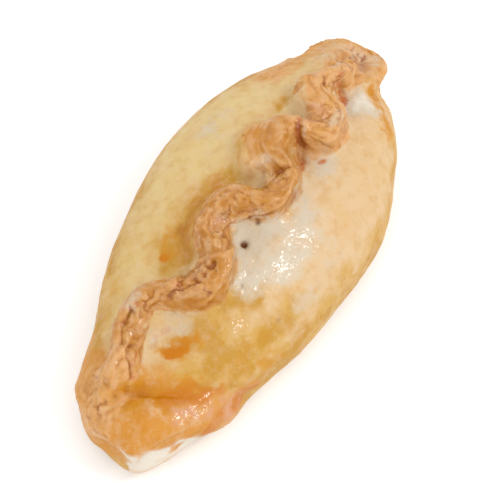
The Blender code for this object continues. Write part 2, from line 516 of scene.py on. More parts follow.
# %% [markdown]
# ## Creases and wrinkles
#
# Where dough is folded tightly it creases: short sharp lines inside the turns, and a star of them
# where the seam meets the blunt end and there was most dough to take up. The edge of the pressed
# dough shows as a thin ridge along the seam. They are a layer of their own because their routes
# lie over the folds made above.

# %% Press the creases
# Where the creases of the star meet, then the outer end of each and its depth.
STAR_MIDDLE = (-75, 9)
STAR_CREASES = ((-72, 18, 0.5), (-79.5, 14.5, 0.6), (-83, 10, 0.5), (-77.5, 4, 0.7), (-69, 12, 0.5))
STAR_WIDTH = 1.1
STAR_BEND = 0.7

creases = Sculpt(pasty)
for x, y, depth in STAR_CREASES:
    half_way = ((STAR_MIDDLE[0] + x) / 2, (STAR_MIDDLE[1] + y) / 2 + STAR_BEND)
    creases.groove(STAR_WIDTH, depth, STAR_MIDDLE, half_way, (x, y))
CREASES = (
    (0.9, 2.0, (-71, 2.5), (-68, 4), (-65, 6), (-62, 7.5), (-60, 6)),
    (0.8, 1.4, (-69, 9), (-67, 7), (-65, 6)),
    (0.9, 1.0, (-85, 8), (-82, 9), (-79, 6.5)),
    (0.9, 1.2, (-43.5, 4), (-40.5, 2.5), (-39, -0.5)),
    (0.9, 1.3, (-38.5, 1.5), (-36.5, -1.5), (-34.5, -2.5), (-32.5, -0.5), (-30, -1.5)),
    (0.8, 1.0, (-29, -2), (-26, -5)),
    (0.8, 0.8, (-36, -5), (-35.5, -8)),
    (0.9, 1.4, (-19, -1), (-15, -1.5), (-10, -1.5), (-6, -3.5)),
    (0.8, 0.7, (37, -7), (39, -10), (40, -13)),
    (0.7, 0.6, (46, -4), (49, -6), (50, -9)),
)
for width, depth, *points in CREASES:
    creases.groove(width, depth, *points)
# The pressed edge of the dough runs along the seam as a thin ragged ridge.
edge_1 = ((-53, 9.5), (-46, 8.5), (-39, 5), (-32, 4), (-27, 1), (-24, -4), (-20, -6.5), (-14, -4))
edge_2 = ((-14, -4), (-9, -2.5), (-4, -4.5), (-1, -9), (4, -13), (11, -13), (17, -11))
creases.groove(0.9, -1.2, *edge_1)
creases.groove(0.9, -1.1, *edge_2)
# Hairlines where the dough was stretched over the filling.
creases.groove(0.6, 0.5, (-38, -7), (-34, -12), (-32, -16))
creases.groove(0.6, 0.5, (-37, -8), (-31, -10), (-25, -14))
creases.groove(0.5, 0.4, (-23, -13.5), (-17, -14.5), (-13, -14))
creases.press("creases")

# %% [markdown]
# ## Crumples
#
# Between the named folds the dough is crumpled everywhere that it was pinched: rounded swells
# with sharp creases between them, at several sizes at once. Noise that is near zero along thin
# winding lines makes this: its distance from zero is used as the height, so the lines become
# creases. Along the seam the noise is measured in seam directions and squeezed lengthways,
# because dough that is pinched along a line wrinkles along it. The filled flanks only get the
# slow unevenness of hand-made dough.

# %% Measure places along the seam
STRETCH = 1.3


def along_seam(places):
    """How far places are from the seam, and where along it (squeezed), across it and up."""
    far, which = nearest_on(seam_core, places)
    ahead = np.gradient(seam_core, axis=0)
    ahead /= norm(ahead, axis=1)[:, None]
    steps = norm(np.diff(seam_core, axis=0), axis=1)
    run = np.concatenate(([0], np.cumsum(steps)))
    offset = places - seam_core[which]
    across = ahead[which, 0] * offset[:, 1] - ahead[which, 1] * offset[:, 0]
    return far, np.stack([run[which] / STRETCH, across, offset[:, 2]], axis=1)


crumples = Sculpt(pasty)
seam_far, by_seam = along_seam(crumples.places)
print("the seam is", round(STRETCH * by_seam[:, 0].max()), "mm long along its turns")

# %% Where the dough is crumpled
# Each pair says where the crumpling starts and where it is full.
SEAM_WORKED = (9.0, 6.0)
SEAM_FOOT = (-0.5, 3.0)
FOOT_SHARE = 0.45
TAIL_WORKED = (74, 80)
KNOT_X = (-70, -76)
KNOT_Y = (-4, 3)
LEVEL_WORKED = (12, 20)
END_SHARE = 0.5
CALM_SHARE = 0.75
# x, y and radius of the places where the dough was stretched smooth.
CALM = (
    (-50, 17, 5),
    (-36, 15, 5),
    (-34, -8, 3),
    (-24, -8, 3),
    (-6, 11, 5),
    (59, 4, 7),
    (50, 0, 8),
    (46, -15, 6),
    (24, 4, 8),
    (18, 0, 6),
)

on_seam = ramp(seam_far, *SEAM_WORKED)
on_seam *= FOOT_SHARE + (1 - FOOT_SHARE) * ramp(by_seam[:, 2], *SEAM_FOOT)
for x, y, radius in CALM:
    far = norm(crumples.measured - lifted(crumples.tree, x, y), axis=1)
    on_seam *= 1 - CALM_SHARE * np.exp(-((far / radius) ** 2))
end, side, height = crumples.places.T
on_tail = ramp(end, *TAIL_WORKED)
on_knot = ramp(end, *KNOT_X) * ramp(side, *KNOT_Y)
worked = np.maximum.reduce((on_seam, END_SHARE * on_tail, END_SHARE * on_knot))
worked *= ramp(height, *LEVEL_WORKED)
print("crumpled:", round(100 * (worked > 0.5).mean()), "% of the vertices")

# %% Crumple it
CRUMPLE_SIZES = (5.5, 2.6, 1.3)
CRUMPLE_HEIGHTS = (0.9, 0.7, 0.34)
CRUMPLE_REST = 0.3
# How rounded the bottoms of the creases are.
CREASE_SOFTNESS = 0.05
KNOT_SOFTNESS = 0.16
# The routes of the creases are bent by noise of this size and height.
BEND_SIZE, BEND = 3.0, 1.6
# Calmer stretches: how long, where in the noise, between which of its values, and how calm.
STRETCH_SIZE = 7.0
STRETCH_SHIFT = Vector((5.0, 0.0, 0.0))
STRETCH_RANGE = (-0.35, 0.25)
CALMEST = 0.4
# Size and height of each wave of the flanks.
FLANK_WAVES = ((16.0, 0.45), (5.0, 0.15), (2.2, 0.06))
ABOVE_TRAY = (0.2, 3)
BARELY = 0.01


def crumple(place, softness):
    """Rounded swells with creases between them."""
    lively = ramp(noise.noise(place / STRETCH_SIZE + STRETCH_SHIFT), *STRETCH_RANGE)
    place = place + noise.noise_vector(place / BEND_SIZE) * BEND
    height = 0.0
    for size, rise in zip(CRUMPLE_SIZES, CRUMPLE_HEIGHTS):
        height += rise * (2 * math.hypot(noise.noise(place / size), softness) - CRUMPLE_REST)
    return height * (CALMEST + (1 - CALMEST) * lively)


def undulation(place):
    """The uneven flank of hand-filled dough."""
    return sum(height * noise.noise(place / size) for size, height in FLANK_WAVES)


for i, place in enumerate(crumples.places):
    crumples.moved[i] = undulation(Vector(place))
    if worked[i] > BARELY:
        folded = on_seam[i] > BARELY
        softness = CREASE_SOFTNESS if folded else KNOT_SOFTNESS
        crumples.moved[i] += worked[i] * crumple(Vector(by_seam[i] if folded else place), softness)
crumples.moved *= ramp(height, *ABOVE_TRAY)
crumples.press("crumples")

# %% [markdown]
# ## The underside
#
# The underside lies flat on its tray, so it needs no net. Its inner faces are joined into one,
# which is then cut into a few large triangles.

# %% Join the flat underside
UNDERSIDE_LEVEL = 0.35


def flatten_underside(piece):
    places = read_places(piece.data)
    places[places[:, 2] < UNDERSIDE_LEVEL, 2] = 0.0
    write_places(piece.data, places)
    bm = bmesh.new()
    bm.from_mesh(piece.data)
    resting = [face for face in bm.faces if all(vert.co.z == 0.0 for vert in face.verts)]
    flat = set(resting)
    inner = [
        face
        for face in resting
        if flat.issuperset(other for edge in face.edges for other in edge.link_faces)
    ]
    joined = bmesh.ops.dissolve_faces(bm, faces=inner, use_verts=True)["region"]
    bmesh.ops.triangulate(bm, faces=joined)
    bm.to_mesh(piece.data)
    bm.free()


flatten_underside(pasty)
print("skin:", sum(len(face.vertices) - 2 for face in pasty.data.polygons), "triangles")

# %% [markdown]
# ## The steam hole and small pits
#
# A hole is pricked through the top before baking to let the steam out, and small blisters burst
# in the oven. They are scoops in the skin, pressed last so that nothing made later pulls them out
# of shape. Their places are measured without the noise, because a skewer leaves a round hole.

# %% Prick the hole and the pits
# x, y, radius and depth.
STEAM_HOLE = (-11.5, -7.5, 1.3, 2.2)
PITS = ((-3, -8, 0.8, 1.0), (-25, -14, 0.7, 0.7), (22, 11.5, 0.5, 0.5), (-26.5, -29, 0.9, 0.5))

pits = Sculpt(pasty)
pits.measured = pits.places
for x, y, radius, depth in (STEAM_HOLE, *PITS):
    pits.swell(x, y, radius, -depth)
pits.press("pits")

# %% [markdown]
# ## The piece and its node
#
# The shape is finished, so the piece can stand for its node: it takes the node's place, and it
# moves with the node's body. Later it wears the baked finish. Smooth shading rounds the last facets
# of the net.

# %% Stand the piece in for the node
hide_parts("pasty")
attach(pasty, "root")
for face in pasty.data.polygons:
    face.use_smooth = True
print(pasty.name, "measures", [round(side / MM, 1) for side in pasty.dimensions], "mm")

# %% [markdown]
# ## Painting where it baked
#
# The oven browns what stands up, egg wash runs into the hollows and darkens there, and dough that
# the brush missed stays pale. Some layers also hold painted light: painted sheen and highlights on
# pale and pink dough, and painted shade in the deepest folds, the creases and the steam hole. Each
# of these is a layer of paint from 0 to 1, kept on the vertices as an attribute, and the finish
# turns the layers into colours. The vertices are less than a millimetre apart, so the paint can
# follow every fold. Places are shaken with two sizes of noise before a brush measures them, so that
# the paint has the loose edge of a stain.

# %% A brush for paint
PAINT_WOBBLES = ((9.0, 2.5), (3.0, 1.0))
BRUSH_REACH = 1.9
PAINTED = 0.25


class Paint:
    """Layers of colour on a piece, 0 to 1 at every vertex, kept as attributes for the finish."""

    def __init__(self, piece):
        self.mesh = piece.data
        self.places = read_places(self.mesh)
        self.normals = read_normals(self.mesh)
        self.tree = skin_tree(self.mesh)
        self.layers = {}
        self.measured = self.places.copy()
        for size, height in PAINT_WOBBLES:
            self.measured += shake(self.places, size, height)

    def cover(self, layer, values):
        before = self.layers.get(layer, np.zeros(len(self.places)))
        self.layers[layer] = np.maximum(before, values)

    def stroke(self, width, strength, points):
        """How strongly a brush drawn through the points covers each place."""
        dab = len(points) == 1
        curve = np.array([lifted(self.tree, *points[0])]) if dab else route_over(self.tree, points)
        reach = BRUSH_REACH * width
        near = around(curve, self.measured, reach)
        values = np.zeros(len(self.places))
        values[near] = strength * ramp(nearest_on(curve, self.measured[near])[0], reach, 0)
        return values

    def brush(self, layer, *strokes):
        """Each stroke has a width, a strength and the points that it runs through."""
        for width, strength, *points in strokes:
            self.cover(layer, self.stroke(width, strength, points))

    def wipe(self, layer, *strokes):
        """Takes paint off again."""
        for width, strength, *points in strokes:
            self.layers[layer] = self.layers[layer] * (1 - self.stroke(width, strength, points))

    def keep(self):
        for layer, values in self.layers.items():
            kept = self.mesh.attributes.new(layer, "FLOAT", "POINT")
            kept.data.foreach_set("value", values.astype(np.float32))

    def report(self, *layers):
        for layer in layers:
            share = (self.layers[layer] > PAINTED).mean()
            print(f"{layer}: {share:.1%} of the vertices")


paint = Paint(pasty)
seam_far = nearest_on(seam_core, paint.measured)[0]
end, side, height = paint.measured.T
print("to paint:", len(paint.places), "vertices")

# %% Browned crust
# Brown along the seam, where the dough stands up into the heat.
BROWNED_REACH = (8.8, 6.4)
BROWNED_TAIL = (76, 82)
BROWNED_LEVEL = (10, 18)
FAIR_TAIL = (26, 44)
FAIR_END = (-58, -68)

paint.cover("browned", ramp(seam_far, *BROWNED_REACH))
paint.brush(
    "browned",
    (5, 0.9, (-84, 12), (-78, 16), (-72, 16)),
    (4, 0.6, (-22, 11), (-14, 13), (-4, 14), (4, 12)),
    (5, 0.75, (25, 6), (30, 9), (35, 9)),
    (4, 0.9, (24, -5), (30, -7)),
    (6, 0.9, (62, 24), (70, 21), (82, 22)),
)
# The fullest turn is browned on its sides only.
paint.wipe(
    "browned",
    (2.6, 0.9, (8, 9), (11, 2), (12, -3)),
    (3, 0.8, (14, 8), (16, 2)),
    (1.6, 0.9, (-1, -14), (5, -17), (9, -18), (14, -19)),
    (3.2, 1.0, (0, -15.5), (4, -16), (8, -16.5)),
)
paint.brush(
    "browned",
    (1.3, 0.9, (13, 5), (20, 3)),
    (1.5, 1.0, (16, -2), (23, 1)),
    (4, 0.8, (47, -3), (51, -1), (54, -4)),
    (6, 0.9, (-2, 3), (4, 1)),
    (5, 0.9, (24, 1), (30, 0)),
)
paint.cover("browned", 0.7 * ramp(end, *BROWNED_TAIL) * ramp(height, *BROWNED_LEVEL))
# The crust of the tail and of the folded end is fairer.
paint.cover("fair", np.maximum(ramp(end, *FAIR_TAIL), ramp(end, *FAIR_END)))
paint.report("browned", "fair")

# %% Orange and gold
ORANGE_END = (-56, -72)
ORANGE_LEVEL = (8, 16)
ORANGE_TAIL = (62, 84)
GOLD_LEVEL = (34, 20)
# On the far side the gold stays this much lower.
FAR_DROP = 5
FAR_SIDE = (0, 20)

# Orange where the blunt end was brushed with egg.
paint.cover("orange", ramp(end, *ORANGE_END) * ramp(height, *ORANGE_LEVEL))
paint.cover("orange", 0.35 * ramp(end, *ORANGE_TAIL))
paint.brush(
    "orange",
    (7, 0.9, (-82, -4), (-74, -10), (-66, -20), (-58, -28)),
    (5, 0.6, (-72, 22), (-63, 25)),
    (2.2, 1.0, (64, -9), (67, -6.5), (69, -4)),
)
# Gold low on the flanks, over the near flank beside the fold, and at the far foot of the turns.
paint.cover("gold", 0.9 * ramp(height - FAR_DROP * ramp(side, *FAR_SIDE), *GOLD_LEVEL))
paint.brush(
    "gold",
    (9, 1.0, (-66, -12), (-56, -16), (-47, -22), (-38, -28)),
    (7, 0.8, (-48, -8), (-40, -12), (-32, -16)),
    (6, 1.1, (-36, -10), (-30, -13), (-26, -17)),
    (7, 1.3, (-50, -26), (-45, -27), (-36, -28)),
    (5, 1.2, (-47, -13), (-43, -16)),
    (7, 0.9, (-36, -26), (-27, -31), (-20, -32)),
    (6, 0.75, (-36, -36), (-15, -40), (2, -40)),
    (9, 0.45, (-62, 24), (-45, 28), (-30, 30)),
    (6, 0.55, (-25, 19), (-17, 21), (-8, 20)),
    (7, 1.0, (-27, 13), (-20, 13), (-10, 14), (0, 13), (7, 9)),
    (4.5, 1.2, (-25, 11), (-18, 12), (-9, 15), (-3, 14), (4, 12)),
    (4, 0.8, (14, 9), (19, 12), (24, 9)),
    (5, 0.8, (20, 9), (28, 13), (34, 12)),
    (2.4, 1.1, (46, 11), (51, 11)),
    (3, 0.6, (57, 6), (60, 4)),
)
paint.report("orange", "gold")

# %% Pale and pink dough, with painted sheen and highlights
# Pale where the dough stayed soft. The first three strokes, on the near flank under the seam, also
# paint the sheen of the light on the egg wash: painted sheen.
paint.brush(
    "pale",
    (7, 0.9, (-20, -14), (-12, -10), (-4, -13)),
    (7, 0.9, (-15, -20), (-6, -22), (6, -22)),
    (6, 0.6, (8, -18), (20, -16), (30, -15)),
    (5, 0.35, (-19, -33), (-7, -34), (7, -34)),
    (5, 0.35, (-55, 4), (-50, 0), (-45, -2)),
    (1.6, 0.8, (-56, 3), (-51, 3)),
    (2.4, 0.7, (-52, 14), (-47, 15)),
    (2, 0.6, (15, 1), (18, 0)),
    (7, 0.4, (22, 27), (32, 29)),
    (1.2, 0.6, (31, -10), (33, -8), (35, -6), (38, -4)),
    (3, 0.4, (44, -13), (49, -14)),
    (5, 1.0, (65, -12), (68, -16)),
    (1.8, 0.35, (76, 8), (74, 1), (73, -3)),
    (7, 0.4, (84, 8), (87, 0), (88, -6)),
)
# Raw dough, nearly white: the lip under the blunt end, and a dab beside the tail.
paint.brush("raw", (4.2, 1.2, (-91, -10), (-88, -13), (-84, -15.5)))
lip_level = ramp(height, 5, 9) * ramp(height, 15.5, 12.5)
lip_side = ramp(end, -65, -73) * ramp(side, -4, -9)
paint.cover("raw", 1.2 * lip_side * lip_level)
paint.brush(
    "raw",
    (2.4, 0.8, (-78, -20), (-71, -23)),
    (3.2, 0.6, (65, -12), (69, -14)),
)
# Pink where the dough was brushed thinly and stayed moist. On the blunt end and the crumples it
# also stands for their pinkish highlights: painted highlight.
paint.brush(
    "pink_and_highlight",
    (5, 0.5, (-71, -14), (-64, -20), (-59, -25)),
    (4, 0.25, (-54, 2), (-49, -1)),
    (3.5, 0.5, (-37, 1), (-33, -3)),
    (3, 0.5, (-20, 3), (-13, 2)),
    (3, 0.55, (39, -6), (46, -6)),
)
paint.report("pale", "raw", "pink_and_highlight")

# %% Amber pools, and red folds with painted shade
# Amber where egg ran together: in the fold of the blunt end, and in spots beside the seam.
paint.brush(
    "amber",
    (5, 0.7, (-75, 4), (-72, -1), (-69, -7), (-66, -10)),
    (4.4, 1.1, (-70, -9), (-66, -12), (-62, -16), (-60, -19)),
    (2.4, 1.5, (-70, -8), (-66, -12), (-63, -16)),
    (3.2, 0.8, (-60, -19), (-57, -23)),
    (4, 1.5, (-68, -25), (-62, -27), (-55, -29), (-47, -30)),
    (3.5, 0.4, (-45, -26), (-41, -28), (-37, -32), (-32, -35)),
    (3.8, 0.9, (-56, -4), (-51, -6.5)),
    (2.8, 1.3, (-55.5, -4.5), (-53, -5.5)),
    (3, 0.7, (-51, -6.5), (-47.5, -8.5)),
    (3.2, 0.6, (-30, 17), (-26, 15)),
    (1.6, 1.2, (-29, 16.5), (-28, 15)),
    (5, 0.35, (-28, 17), (-24, 17), (-20, 17)),
    (2.2, 0.6, (-22, 3), (-18, 1)),
    (2.2, 0.4, (36, -13), (38, -10)),
    (2, 0.5, (48, 12), (49, 9)),
    (4, 0.6, (76, -13), (74, -18), (70, -22), (64, -27)),
)
# Red-brown in the deepest folds and under the rolls: the crust's red-brown, with painted shade.
paint.brush(
    "red_fold_shade",
    (1.6, 0.8, (22, -10), (26, -9), (30, -7.5), (32, -5.5), (35, -3), (38, -2)),
    (1, 0.6, (31.5, -13.5), (34, -17)),
    (1.8, 0.75, (64, -9), (67, -6.5), (69, -4)),
    (1.2, 0.6, (-70, 3), (-65, 6), (-61, 7)),
    (1.1, 0.5, (-60, 12), (-55, 14), (-50, 13), (-47, 10)),
    (1.3, 0.5, (-14, -2), (-8, -2)),
    (1, 0.5, (-24, -35)),
)
paint.report("amber", "red_fold_shade")

# %% Egg wash, and burnt pricks with painted shade
SHINE_REACH = (9.5, 6.0)
# Width and strength of the dark dab on the hole, and on each pit: a burnt edge with painted shade
# inside.
BURNT_AND_SHADE_EDGES = ((1.3, 1.6), (0.8, 0.9), (0.5, 0.6), (0.4, 0.7), (0.8, 0.3))

# Where the egg is thick enough to shine.
paint.brush(
    "shine",
    (8, 0.65, (-18, -14), (-10, -18), (2, -20)),
    (5, 0.8, (-46, -17), (-40, -18)),
    (6, 0.9, (-71, -17), (-64, -22), (-58, -27)),
    (4, 0.8, (-20, 2), (-12, 1)),
    (4, 0.5, (7, -38), (10, -42)),
)
paint.cover("shine", 0.35 * ramp(seam_far, *SHINE_REACH))
# The edges of the hole and the pits burnt, and their insides are darkened with painted shade. They
# are small and round, so no noise shakes them.
paint.measured = paint.places
for (x, y, *_), (width, strength) in zip((STEAM_HOLE, *PITS), BURNT_AND_SHADE_EDGES):
    paint.brush("burnt_and_shade", (width, strength, (x, y)))
paint.report("shine", "burnt_and_shade")

# %% [markdown]
# ## Colour that follows the relief
#
# Ridges take the heat and dry out, and creases stay dark and moist. So two layers come from the
# shape itself: the skin is compared with a softened copy of it, and what stands proud of the copy
# or lies below it is painted. The raised layer is lighter, a painted highlight on the ridges, and
# the sunken layer is darker, painted shade in the creases. A third effect is the torn look of the
# crust along the seam, where the dough pulled apart into strands: noise measured in seam
# directions, bent a little so that no two strands run quite alike.

# %% Raised and sunken places
SOFTENINGS = 12
PROUD = (0.08, 0.4)
HOLLOW = (0.0, 0.32)
HOLLOW_SEAM = (7.0, 5.5)
HOLLOW_TAIL = (72, 76)
TAIL_HOLLOWS = 0.4
HOLLOW_KNOT_X = (-60, -66)
HOLLOW_KNOT_Y = (-6, 0)
KNOT_HOLLOWS = 0.5

pairs = read_edges(pasty.data)
softened = paint.places
for _ in range(SOFTENINGS):
    softened = neighbour_mean(softened, pairs)
proud = np.einsum("ij,ij->i", paint.places - softened, paint.normals)
print("relief from", round(proud.min(), 2), "to", round(proud.max(), 2), "mm")

above_tray = ramp(paint.places[:, 2], 1, 3)
# Lighter where the skin stands proud: a painted highlight on the ridges, and dough that dried out.
paint.cover("proud", ramp(proud, *PROUD) * above_tray)
near_seam, by_seam = along_seam(paint.places)
knot = ramp(end, *HOLLOW_KNOT_X) * ramp(paint.places[:, 1], *HOLLOW_KNOT_Y)
tail = TAIL_HOLLOWS * ramp(end, *HOLLOW_TAIL)
crinkled = np.maximum.reduce((ramp(near_seam, *HOLLOW_SEAM), tail, knot))
crinkled *= 1 - KNOT_HOLLOWS * knot
# Darker where the skin lies low: painted shade in the creases, and dough that stayed moist.
paint.cover("moist_and_shade", crinkled * ramp(-proud, *HOLLOW))
# These hollows are broad and shallow, and stayed fair, so their painted shade is taken off too.
paint.wipe(
    "moist_and_shade",
    (3, 0.7, (64, -9), (67, -6.5), (69, -4)),
    (5, 0.8, (-22, 2), (-17, 2.5), (-11, 1.5)),
    (3, 0.8, (0, -15.5), (8, -16.5)),
)
paint.report("proud", "moist_and_shade")

# %% Torn strands
STRAND_LENGTH = 3.0
STRAND_WIDTH = 1.6
STRAND_BEND = 5.0
STRAND_SHIFT = 2.2
STRAND_FULL = 0.35
# The share of the crust that is torn, and how much that share varies.
TORN_SHARE, TORN_SPREAD = 0.4, 0.6


def strand(place, along):
    """More than 0 on a torn strand of crust, less than 0 between two strands."""
    along = along + noise.noise_vector(place / STRAND_BEND) * STRAND_SHIFT
    along.x /= STRAND_LENGTH
    present = TORN_SHARE + TORN_SPREAD * noise.noise(place / STRAND_BEND)
    return noise.noise(along / STRAND_WIDTH) * max(0.0, min(1.0, 2 * present))


placed = zip(paint.places, by_seam)
strands = np.array([strand(Vector(place), Vector(along)) for place, along in placed])
paint.cover("strand", ramp(strands, 0.0, STRAND_FULL))
paint.cover("gap", ramp(strands, 0.0, -STRAND_FULL))
paint.report("strand", "gap")
paint.keep()

# %% [markdown]
# ## The baked finish
#
# The material starts from plain crust and lays one painted layer over the other, the way the
# pasty got them: gold, orange, brown, pale dough, then egg and burnt spots. Pale and pink dough
# also carry painted sheen and highlights, the red folds, the creases and the burnt spots carry
# painted shade, and dry edges carry a painted highlight. Every layer is broken up with noise where
# it is present, so that its edge is a stain's edge. Under them all the crust is mottled, dusty with
# flour in places and flecked where fat melted out. The surface is matt and finely grained, light
# goes a little way into it, and the egg wash is a clear coat on top, with its own blisters that
# break up its shine.

# %% Small helpers for nodes
def node(kind, inputs, **settings):
    made = tree.nodes.new(kind)
    for name, value in settings.items():
        setattr(made, name, value)
    for name, value in inputs.items():
        if isinstance(value, bpy.types.NodeSocket):
            tree.links.new(value, made.inputs[name])
        else:
            made.inputs[name].default_value = value
    return made


# The Mix node has sockets for every kind of value: these are its factor, and its colours.
MIX_SHARE, MIX_UNDER, MIX_OVER, MIX_RESULT = 0, 6, 7, 2


def blend(share, under, over):
    """A colour laid over another."""
    inputs = {MIX_SHARE: share, MIX_UNDER: under, MIX_OVER: over}
    return node("ShaderNodeMix", inputs, data_type="RGBA").outputs[MIX_RESULT]


def number(operation, *values):
    return node("ShaderNodeMath", dict(enumerate(values)), operation=operation).outputs[0]


def times(value, other):
    return number("MULTIPLY", value, other)


def spread(value, low, high, to_low=0.0, to_high=1.0):
    """The value moved from one range to another, smoothly, as ramp() does."""
    names = ("Value", "From Min", "From Max", "To Min", "To Max")
    inputs = dict(zip(names, (value, low, high, to_low, to_high)))
    return node("ShaderNodeMapRange", inputs, interpolation_type="SMOOTHSTEP").outputs["Result"]


pastry = bpy.data.materials.new("baked_pastry")
pastry.use_nodes = True
tree = pastry.node_tree
shader = tree.nodes["Principled BSDF"]
where = node("ShaderNodeTexCoord", {}).outputs["Object"]


def mottle(scale, detail=4.0, roughness=0.55):
    """Noise over the piece, in cells for each metre: 70 makes blotches, 1400 makes grain."""
    inputs = {"Vector": where, "Scale": scale, "Detail": detail, "Roughness": roughness}
    return node("ShaderNodeTexNoise", inputs).outputs["Fac"]


def layer(name):
    return node("ShaderNodeAttribute", {}, attribute_name=name).outputs["Fac"]


def patches(start, full, strength, **noise_settings):
    """Where the noise is high: nothing below start, and the full strength above full."""
    return spread(mottle(**noise_settings), start, full, 0, strength)


# For each layer: how much its edge is broken up, and how finely, in cells for each metre.
STAIN_EDGES = {
    "gold": (0.35, 120.0),
    "orange": (0.45, 130.0),
    "browned": (0.4, 220.0),
    "pale": (0.5, 130.0),
    "pink_and_highlight": (0.7, 260.0),
    "raw": (0.45, 200.0),
    "amber": (0.75, 200.0),
    "red_fold_shade": (0.5, 300.0),
}
# Most of the noise lies between these values.
NOISE_LOW, NOISE_HIGH = 0.34, 0.66
PRESENT = 0.3
EDGE_LOW, EDGE_HIGH = 0.08, 0.92


def broken(name):
    """A painted layer whose edge is broken up by noise, only where there is paint."""
    amount, scale = STAIN_EDGES[name]
    painted = layer(name)
    shaken = spread(mottle(scale), NOISE_LOW, NOISE_HIGH, -0.5 * amount, 0.5 * amount)
    present = spread(painted, 0.0, PRESENT)
    total = number("MULTIPLY_ADD", shaken, present, painted)
    return spread(total, EDGE_LOW, EDGE_HIGH)


print("material:", pastry.name)

# %% Colours as they look in the light
LIGHT_LEVEL = 1.48
SHEEN = 0.02
GAMMA = 2.2


def baked(red, green, blue):
    """A colour as it looks in the light, 0 to 255, less the light and sheen that come on top."""
    linear = [(part / 255) ** GAMMA for part in (red, green, blue)]
    return (*(max(0.0, (part - SHEEN) / LIGHT_LEVEL) for part in linear), 1.0)


NEAR_CRUST = baked(232, 197, 151)
FAR_CRUST = baked(234, 205, 142)
BISCUIT = baked(228, 184, 118)
LIGHT_GOLD = baked(220, 174, 96)
DEEP_GOLD = baked(206, 154, 66)
EGG_ORANGE = baked(224, 154, 72)
DEEP_ORANGE = baked(214, 142, 58)
FAIR_ORANGE = baked(236, 184, 134)
BROWN_CRUST = baked(205, 140, 66)
FAIR_CRUST = baked(230, 168, 100)
# Pale dough with a painted sheen, and pink dough with painted highlights.
PALE_DOUGH_AND_SHEEN = baked(222, 206, 181)
PINK_DOUGH_AND_HIGHLIGHT = baked(222, 156, 116)
FLOUR_DUST = baked(236, 202, 166)
FAT_FLECK = baked(208, 146, 62)
RAW_DOUGH = baked(244, 232, 214)
LIGHT_AMBER = baked(220, 162, 64)
DEEP_AMBER = baked(212, 130, 0)
# Red-brown with painted shade, for the deepest folds.
RED_FOLD_SHADE = baked(204, 120, 70)
STRAND = baked(232, 182, 132)
STRAND_GAP = baked(184, 112, 44)
# A painted highlight for dry edges, and painted shade for moist creases.
DRY_EDGE_HIGHLIGHT = baked(233, 180, 124)
MOIST_CREASE_SHADE = baked(168, 90, 30)
# Dark brown for burnt edges, and painted shade in the hole and pits.
BURNT_AND_SHADE = baked(124, 74, 48)
print("plain crust:", [round(part, 3) for part in NEAR_CRUST[:3]])

# %% Lay the colours over each other
FAR_FLANK = (-0.012, 0.03)
# Shares on plain crust and on brown crust.
DUST_SHARES = (0.45, 0.25)
FLECK_SHARES = (0.3, 0.65)
# How strongly the torn strands, the painted highlight of dry edges and the painted shade of moist
# creases show.
TORN, DRY_HIGHLIGHT, MOIST_SHADE = 0.5, 0.36, 0.75


def by_browning(value, on_plain, on_brown):
    """A value times a share that changes with the browning of the crust."""
    share = number("MULTIPLY_ADD", layer("browned"), on_brown - on_plain, on_plain)
    return times(value, share)


# Plain crust is yellower on the far flank, with thumb-wide biscuit blotches.
across = node("ShaderNodeSeparateXYZ", {"Vector": where}).outputs["Y"]
colour = blend(spread(across, *FAR_FLANK), NEAR_CRUST, FAR_CRUST)
colour = blend(patches(0.42, 0.68, 0.45, scale=70.0), colour, BISCUIT)
# Gold is deeper where it is thicker.
uneven = spread(mottle(90.0, 5.0, 0.6), 0.36, 0.64, -0.45, 0.45)
deep = spread(number("ADD", layer("gold"), uneven), 0.5, 1.2)
gold = blend(deep, LIGHT_GOLD, DEEP_GOLD)
colour = blend(broken("gold"), colour, gold)
# Orange has deeper and fairer patches of its own.
colour = blend(broken("orange"), colour, EGG_ORANGE)
deeper = patches(0.45, 0.65, 0.7, scale=110.0, detail=5.0, roughness=0.65)
colour = blend(times(layer("orange"), deeper), colour, DEEP_ORANGE)
fairer = patches(0.48, 0.66, 0.5, scale=160.0, detail=5.0, roughness=0.65)
colour = blend(times(layer("orange"), fairer), colour, FAIR_ORANGE)
# Brown crust, pale dough with painted sheen, and pink dough with painted highlights.
crust = blend(layer("fair"), BROWN_CRUST, FAIR_CRUST)
browned = broken("browned")
colour = blend(browned, colour, crust)
colour = blend(broken("pale"), colour, PALE_DOUGH_AND_SHEEN)
colour = blend(broken("pink_and_highlight"), colour, PINK_DOUGH_AND_HIGHLIGHT)
# Dust shows more on plain crust, and flecks more on brown crust.
dusty = patches(0.46, 0.7, 1, scale=190.0, detail=6.0, roughness=0.75)
colour = blend(by_browning(dusty, *DUST_SHARES), colour, FLOUR_DUST)
flecks = patches(0.45, 0.72, 1, scale=230.0, roughness=0.65)
colour = blend(by_browning(flecks, *FLECK_SHARES), colour, FAT_FLECK)
# Raw dough, amber pools, and red folds with painted shade.
colour = blend(broken("raw"), colour, RAW_DOUGH)
amber = blend(layer("amber"), LIGHT_AMBER, DEEP_AMBER)
colour = blend(broken("amber"), colour, amber)
colour = blend(broken("red_fold_shade"), colour, RED_FOLD_SHADE)
# Strands of the crumpled crust, its dry edges with a painted highlight, and its moist creases with
# painted shade.
torn = times(browned, TORN)
colour = blend(times(torn, layer("strand")), colour, STRAND)
colour = blend(times(torn, layer("gap")), colour, STRAND_GAP)
colour = blend(times(layer("proud"), DRY_HIGHLIGHT), colour, DRY_EDGE_HIGHLIGHT)
colour = blend(times(layer("moist_and_shade"), MOIST_SHADE), colour, MOIST_CREASE_SHADE)
# The hole and the pits: burnt edges, with painted shade inside.
colour = blend(layer("burnt_and_shade"), colour, BURNT_AND_SHADE)
tree.links.new(colour, shader.inputs["Base Color"])
print("colour:", len(tree.nodes), "nodes")

